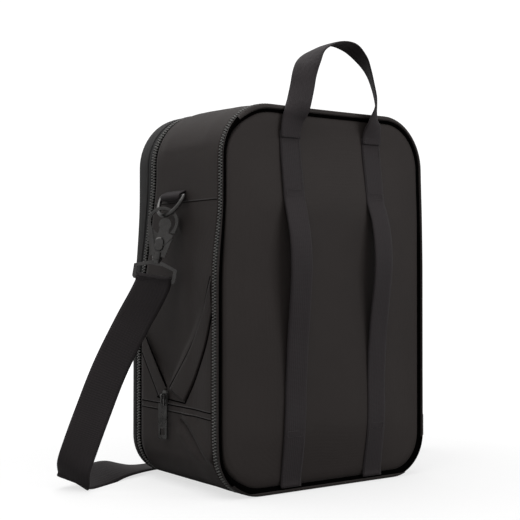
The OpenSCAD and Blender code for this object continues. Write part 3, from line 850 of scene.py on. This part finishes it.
def buildHandle():
    # the legs leave the panel flat and turn edge-on at once, so that the top lies flat in the hand
    low = webbing["top"] / mm - 6
    y = (panelFront - webbing["thick"] * 1.5 - strapStandoff(webbing["strapX"], low * mm)) / mm
    route = [(-56, y, low), (-56, y - 0.3, low + 8), (-54.5, -94.8, 388), (-52.2, -97, 396.5),
             (-49, -97, 404.5), (-45.5, -95.5, 413), (-41, -93.5, 425), (-36.5, -91.6, 439),
             (-29.5, -89.6, 452), (-16, -86.6, 466), (9, -85.6, 477), (31, -85.6, 475.5), (46, -87.6, 464),
             (54.5, -90, 450), (59, -92.5, 434), (60.5, -95.5, 418), (58, -98, 405), (56, -98, 395),
             (56, -95.4, 386), (56, y - 0.3, low + 8), (56, y, low)]
    sides = [(1, 0, 0), (1, 0, 0), (0.99, -0.1, 0), (0.95, -0.3, 0), (0.88, -0.48, 0), (0.84, -0.54, 0),
             (0.82, -0.57, 0), (0.8, -0.6, 0), (0.7, -0.7, 0.1), (0.3, -0.95, 0.1), (0, -1, 0),
             (-0.1, -1, 0.1), (-0.3, -0.93, 0.1), (-0.5, -0.85, 0.05), (-0.58, -0.81, 0), (-0.62, -0.78, 0),
             (-0.72, -0.68, 0), (-0.9, -0.42, 0), (-0.99, -0.15, 0), (-1, 0, 0), (-1, 0, 0)]
    bm = bmesh.new()
    length = routeStrip(bm, [Vector(p) * mm for p in route], sides, webbing["width"], webbing["thick"],
                        150, 10, 0.4 * mm)
    piece = toPiece(bm, "carryHandle", finish["webbing"], None, ("carry_handle",))
    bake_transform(piece)


buildHandle()
print("front straps and handle sewn on")


# side pleat: V of two tapes, on both sides
wallX = bag["width"] / 2


def mirrored(bm, side):
    # pieces are drawn for the left side and mirrored to the right
    if side > 0:
        bmesh.ops.scale(bm, vec=(-1, 1, 1), verts=bm.verts)
        bmesh.ops.reverse_faces(bm, faces=bm.faces)


def wallFace(y, z):
    below = max(0.0, bag["low"] - z)
    turnedIn = bag["low"] - math.sqrt(max(0.0, bag["low"] ** 2 - below ** 2))
    return wallX - turnedIn - sideRelief(Vector((-wallX, y, z)))


def onWall(line, along):
    # point on a line drawn over the wall as (depth, height) points in millimetres
    return splinePoint([(0, y * mm, z * mm) for y, z in line], along * (len(line) - 1))


def joinInto(bm, part):
    mesh = bpy.data.meshes.new("joining")
    part.to_mesh(mesh)
    part.free()
    bm.from_mesh(mesh)
    bpy.data.meshes.remove(mesh)


def wallLine(bm, line, width, proud=0.1 * mm, rows=40):
    # thin strip following the wall
    def place(across, along):
        heading = (onWall(line, min(along + 0.02, 1)) - onWall(line, max(along - 0.02, 0))).normalized()
        spot = onWall(line, along) + Vector((0, -heading.z, heading.y)) * (across - 0.5) * width
        return Vector((-wallFace(spot.y, spot.z) - proud, spot.y, spot.z)), Vector((-1, 0, 0))

    part = bmesh.new()
    length = (onWall(line, 1) - onWall(line, 0)).length
    strapStrip(part, place, width, length, 0.4 * mm, 2, rows, 0.1 * mm)
    joinInto(bm, part)


def wallTape(bm, lowLine, highLine, thick, puff, columns, rows, lift):
    # tape between two lines of the wall; across runs from the lower to the upper one
    def place(across, along):
        spot = onWall(lowLine, along).lerp(onWall(highLine, along), across)
        out = thick / 2 + 0.15 * mm + puff * math.sin(math.pi * across) + \
            lift * across ** 3 * math.sin(math.pi * min(1, along * 1.1)) ** 0.7
        return Vector((-wallX - out, spot.y, spot.z)), Vector((-1, 0, 0))

    width = (onWall(highLine, 0.5) - onWall(lowLine, 0.5)).length
    strapStrip(bm, place, width, (onWall(highLine, 1) - onWall(highLine, 0)).length, thick, columns, rows)


pleat = {"frontLow": ((-15, 93), (-42, 127), (-63, 158), (-75, 190)),
         "frontHigh": ((14, 104), (-27, 148), (-57, 188), (-73, 224)),
         "rearLow": {-1: ((36, 94), (73, 141)), 1: ((36, 95), (48.6, 113))},
         "rearHigh": {-1: ((20, 103), (70, 163)), 1: ((20, 101), (48.6, 138))}}


def beside(line, dy, dz):
    return [(y + dy, z + dz) for y, z in line]


def buildPleat(side):
    name = "left" if side < 0 else "right"
    front, rear, lines, shadeStrips, thread = (bmesh.new() for k in range(5))
    wallTape(front, pleat["frontLow"], pleat["frontHigh"], 1.0 * mm, 0.5 * mm, 12, 40, 0.9 * mm)
    wallTape(rear, pleat["rearLow"][side], pleat["rearHigh"][side], 1.0 * mm, 0.4 * mm, 8, 24, 0.8 * mm)
    # the near-black strips drawn here are painted shade: beside the front tape, across the foot of the pleat,
    # along the crease and beside the rear tape
    wallLine(lines, beside(pleat["frontLow"], -1.2, -1.4), 1.8 * mm)
    wallLine(lines, beside(pleat["frontHigh"], 1.4, 1.4), 1.4 * mm)
    wallLine(lines, ((-17, 91), (8, 92), (33, 93)), 1.3 * mm)
    wallLine(lines, ((-6, 73), (-28, 57), (-56, 36)), 1.3 * mm)
    wallLine(thread, beside(pleat["frontHigh"], -2.2, -2.2), 0.6 * mm, 1.6 * mm)
    wallLine(shadeStrips, beside(pleat["rearHigh"][side], 2.0, 1.6), 2.8 * mm, 0.5 * mm)
    wallLine(shadeStrips, beside(pleat["rearLow"][side], 0.6, -1.6), 1.3 * mm, 0.4 * mm)
    for bm in (front, lines, thread):
        mirrored(bm, side)
        settle(bm)
    mirrored(shadeStrips, side)
    mirrored(rear, side)
    node = "pleat_tapes_" + name
    toPiece(front, "pleatTapeFront_" + name, finish["nylon"], "bag_body", (node,))
    toPiece(rear, "pleatTapeRear_" + name, finish["nylon"], "bag_body", (node,))
    toPiece(lines, "pleatShadeLinesFront_" + name, finish["gap"], "bag_body")
    toPiece(shadeStrips, "pleatShadeLinesRear_" + name, finish["gap"], "bag_body")
    toPiece(thread, "pleatThread_" + name, finish["thread"], "bag_body")


for side in (-1, 1):
    buildPleat(side)


# cross seams of the sides
def buildCrossSeams(side):
    name = "left" if side < 0 else "right"
    shadeStrips, threads = bmesh.new(), bmesh.new()
    # each seam's dark line is painted shade in near-black cloth; the lighter line beside it is its thread
    for z, width in ((79.5, 0.7), (86.5, 0.9), (303, 0.5)):
        wallLine(shadeStrips, ((-73.5, z), (48, z)), width * mm, 0.1 * mm, 60)
        wallLine(threads, ((-73.5, z + 1.3), (48, z + 1.3)), 0.7 * mm, 0.15 * mm, 60)
    for bm, key, kind in ((shadeStrips, "gap", "ShadeLine"), (threads, "thread", "Thread")):
        mirrored(bm, side)
        settle(bm)
        toPiece(bm, "crossSeam" + kind + "_" + name, finish[key], "bag_body")


for side in (-1, 1):
    buildCrossSeams(side)
print("pleats and cross seams sewn")


# ring tabs
ringAt = {"x": 142.5 * mm, "y": 1 * mm, "z": 309.5 * mm, "wire": 2.2 * mm}


def buildRingTab(side):
    name = "left" if side < 0 else "right"
    radius = ringAt["wire"] + 1.1 * mm
    middle = ringAt["z"] / mm
    route = [(-136.8, middle + 5.6), (-138.6, middle + 5.4), (-140.8, middle + 4.3)]
    for k in range(6):
        angle = math.radians(120 + 36 * k)
        route.append((-(ringAt["x"] / mm) + radius / mm * math.cos(angle),
                      middle + radius / mm * math.sin(angle)))
    route += [(-139.2, middle - 3.4), (-136.8, middle - 3.8)]
    points = [Vector((x * mm, ringAt["y"], z * mm)) for x, z in route]
    bm = bmesh.new()
    length = routeStrip(bm, points, [(0, 1, 0)] * len(points), 38 * mm, 1.6 * mm, 44, 12)
    mirrored(bm, side)
    piece = toPiece(bm, "ringTab_" + name, finish["webbing"], "bag_body", ("ring_tab_" + name,))


for side in (-1, 1):
    buildRingTab(side)


# shoulder strap, from each hook to the buckle behind the bag
hook = {"foot": (-159.5 * mm, 4.7 * mm, 243 * mm), "turns": (4.4, 8.3, -34.5), "bar": -20.5 * mm,
        "barRadius": 2.2 * mm}
turnX, turnY, turnZ = (Matrix.Rotation(math.radians(a), 4, axis) for a, axis in zip(hook["turns"], "XYZ"))
hookPlace = Matrix.Translation(hook["foot"]) @ turnX @ turnY @ turnZ
shoulder = {"width": 37.4 * mm, "thick": 1.8 * mm}
dropRoute = [(-170.5, 9.5, 201), (-183.5, 18.5, 172), (-203, 28.5, 127), (-220, 34, 82), (-232.5, 39, 45),
             (-236.5, 44, 26), (-232.5, 52, 12)]
dropSides = [(0.82, -0.54, -0.2), (0.80, -0.53, -0.27), (0.78, -0.52, -0.36), (0.77, -0.52, -0.38),
             (0.75, -0.54, -0.38), (0.68, -0.62, -0.38), (0.60, -0.72, -0.30)]
floorRoute = [(-230, 57, 7.5), (-215, 64, 6.5), (-190, 76, 8.5), (-160, 92, 9.5), (-120, 109, 4.2),
              (-80, 119, 2.2), (-40, 123, 1.6), (0, 124, 1.5)]
floorSides = [(0.56, -0.76, -0.28), (0.50, -0.80, -0.34), (0.44, -0.76, -0.48), (0.42, -0.83, -0.36),
              (0.3, -0.95, -0.04), (0.15, -0.99, 0), (0.04, -1, 0), (0, -1, 0)]


def atHook(across, away, up):
    return hookPlace @ Vector((across, away, up))


def buildShoulderStrap(side):
    name = "left" if side < 0 else "right"
    wrap = hook["barRadius"] + shoulder["thick"] / 2
    barSide = (hookPlace.to_3x3() @ Vector((1, 0, 0))).normalized()
    front = [atHook(0, -wrap, hook["bar"]), atHook(0, -wrap * 0.62, hook["bar"] - 6 * mm)]
    route = front + [Vector(p) * mm for p in dropRoute + floorRoute]
    sides = [barSide, barSide] + [Vector(s) for s in dropSides + floorSides]
    bm = bmesh.new()
    length = routeStrip(bm, route, sides, shoulder["width"], shoulder["thick"], 230, 10, 0.3 * mm, 0.5 * mm)
    mirrored(bm, side)
    nodes = ["strap_drop_" + name] + (["strap_floor_run"] if side < 0 else [])
    piece = toPiece(bm, "shoulderStrap_" + name, finish["shoulder"], None, nodes)
    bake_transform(piece)
    # the end turns back over the bar and is sewn down behind
    back = []
    for k in range(7):
        angle = math.pi * k / 6
        back.append(atHook(0, -wrap * math.cos(angle), hook["bar"] + wrap * math.sin(angle)))
    facing = hookPlace.to_3x3() @ Vector((0, 1, 0))
    tail = [atHook(0, wrap * 0.75, hook["bar"] - 6 * mm)]
    for t in (0.25, 0.7, 1.15):
        tail.append(splinePoint([Vector(p) * mm for p in dropRoute], t) + facing * shoulder["thick"] * 1.02)
    bm = bmesh.new()
    foldRoute = back + tail
    foldSides = [barSide] * (len(foldRoute) - 3) + [Vector(dropSides[0])] * 3
    folded = routeStrip(bm, foldRoute, foldSides, shoulder["width"], shoulder["thick"], 60, 10)
    mirrored(bm, side)
    fold = toPiece(bm, "strapFold_" + name, finish["shoulder"], "strap_end_" + name,
                   ("strap_loop_" + name,))


for side in (-1, 1):
    buildShoulderStrap(side)
print("shoulder strap hung")


# inside: divider and boards
def buildDivider():
    low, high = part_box("divider_panel")
    bm = bmesh.new()
    roundedGrid(bm, 5.2 * mm, 30, 44)
    for vert in bm.verts:
        ring = vert.co.y
        vert.co = (vert.co.x, low.y + 0.6 * mm * smoothStep(0.9, 1.0, ring), vert.co.z + bag["height"] / 2)
    made = bmesh.ops.duplicate(bm, geom=bm.verts[:] + bm.edges[:] + bm.faces[:])
    for item in made["geom"]:
        if isinstance(item, bmesh.types.BMVert):
            item.co.y = low.y + high.y - item.co.y
    bmesh.ops.bridge_loops(bm, edges=[edge for edge in bm.edges if edge.is_boundary])
    piece = toPiece(bm, "dividerPanel", finish["lining"], "bag_body", ("divider_panel",))


buildDivider()


# hard parts keep their solids and get finishes
def dressHardware():
    kinds = {"d_ring": "cast", "hook_body": "cast", "hook_gate": "cast", "swivel_eye": "cast",
             "gate_pin": "steel", "slider": "slider", "pull": "slider", "strap_adjuster": "cast",
             "board": "board"}
    for node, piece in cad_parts.items():
        for kind, key in kinds.items():
            if kind in node:
                piece.data.materials.clear()
                piece.data.materials.append(finish[key])
                weld = piece.modifiers.new("weld", "WELD")
                weld.merge_threshold = 0.004 * mm
                split = piece.modifiers.new("creases", "EDGE_SPLIT")
                split.split_angle = math.radians(32)
                for face in piece.data.polygons:
                    face.use_smooth = True
                break


dressHardware()
print("hardware finished")


# floor
def layFloor():
    bm = bmesh.new()
    bmesh.ops.create_grid(bm, x_segments=1, y_segments=1, size=6)
    bmesh.ops.translate(bm, vec=(0, 0, cadBox[0].z - 0.2 * mm), verts=bm.verts)
    mesh = bpy.data.meshes.new("studioFloor")
    bm.to_mesh(mesh)
    bm.free()
    floor = bpy.data.objects.new("studioFloor", mesh)
    bpy.context.scene.collection.objects.link(floor)
    # pale paper with a painted glow that only the camera sees, brightening away from the bag, so that it
    # meets the wall behind without a line
    material, nodes, links, shader = nodeKit("palePaperGlow", (0.28, 0.28, 0.28), 0.75)
    far = nodes.new("ShaderNodeVectorMath")
    far.operation = "LENGTH"
    links.new(nodes.new("ShaderNodeTexCoord").outputs["Object"], far.inputs[0])
    glow = nodes.new("ShaderNodeMapRange")
    for key, value in (("From Min", 0.35), ("From Max", 1.3), ("To Min", 0.68), ("To Max", 1.0)):
        glow.inputs[key].default_value = value
    links.new(far.outputs["Value"], glow.inputs["Value"])
    seen = nodes.new("ShaderNodeLightPath").outputs["Is Camera Ray"]
    links.new(mixNumbers(nodes, links, "MULTIPLY", glow.outputs["Result"], seen),
              shader.inputs["Emission Strength"])
    shader.inputs["Emission Color"].default_value = (1, 1, 1, 1)
    mesh.materials.append(material)


layFloor()
